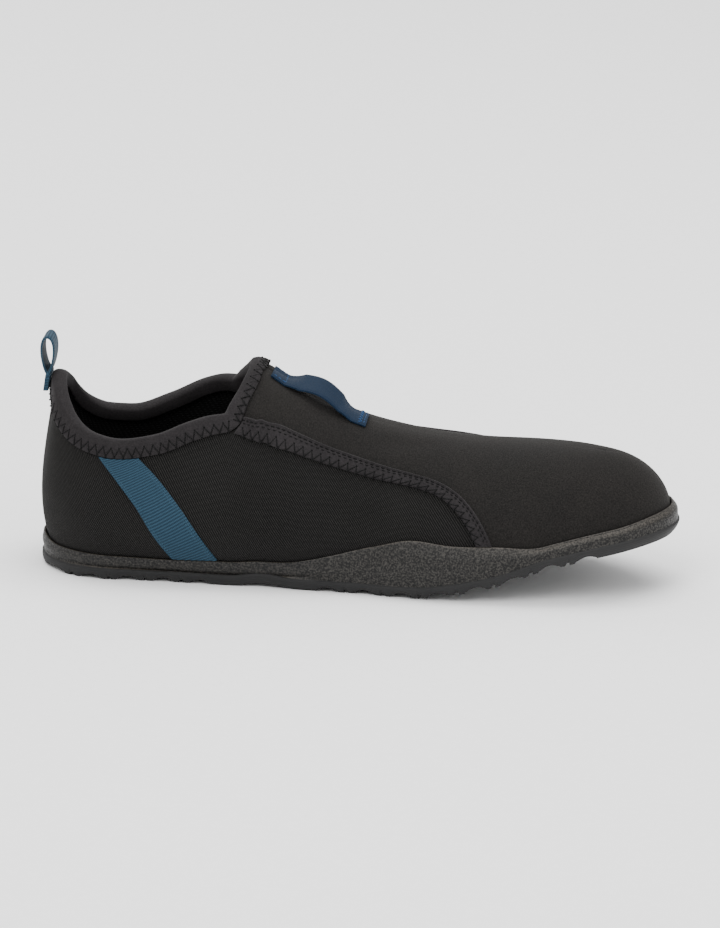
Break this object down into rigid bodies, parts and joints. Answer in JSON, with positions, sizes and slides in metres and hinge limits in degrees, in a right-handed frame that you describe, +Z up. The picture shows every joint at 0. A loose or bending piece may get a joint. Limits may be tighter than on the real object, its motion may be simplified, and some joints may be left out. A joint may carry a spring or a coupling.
{
  "type": "water shoe",
  "caption": "Low slip-on water shoe for a left foot: hollow knitted upper with a peaked instep, cupped rubber sole with a sprung toe, bound collar, vamp tapes, heel straps and loops.",
  "frame": {"origin": "on the ground, under the middle of the whole shoe's length and width", "axes": "+X from heel to toe, +Y to the outer (lateral) side, +Z up"},
  "size_m": [0.27, 0.1058, 0.0978],
  "materials": {
    "rubber": "matte, dark grey",
    "lining": "black mesh",
    "knit": "matte knit over foam rubber, nearly black",
    "edging": "smooth stretch binding, dark purple-grey",
    "webbing": "ribbed webbing, teal blue",
    "twill": "twill tape, dark blue"
  },
  "bodies": {
    "root": {"outsole": "rubber", "insole": "lining", "upper": "knit", "collar_binding": "edging", "throat_binding": "edging", "vamp_tape_medial": "edging", "vamp_tape_lateral": "edging", "heel_strap_medial": "webbing", "heel_strap_lateral": "webbing", "instep_loop": "twill", "heel_pull_loop": "webbing"}
  },
  "joints": []
}
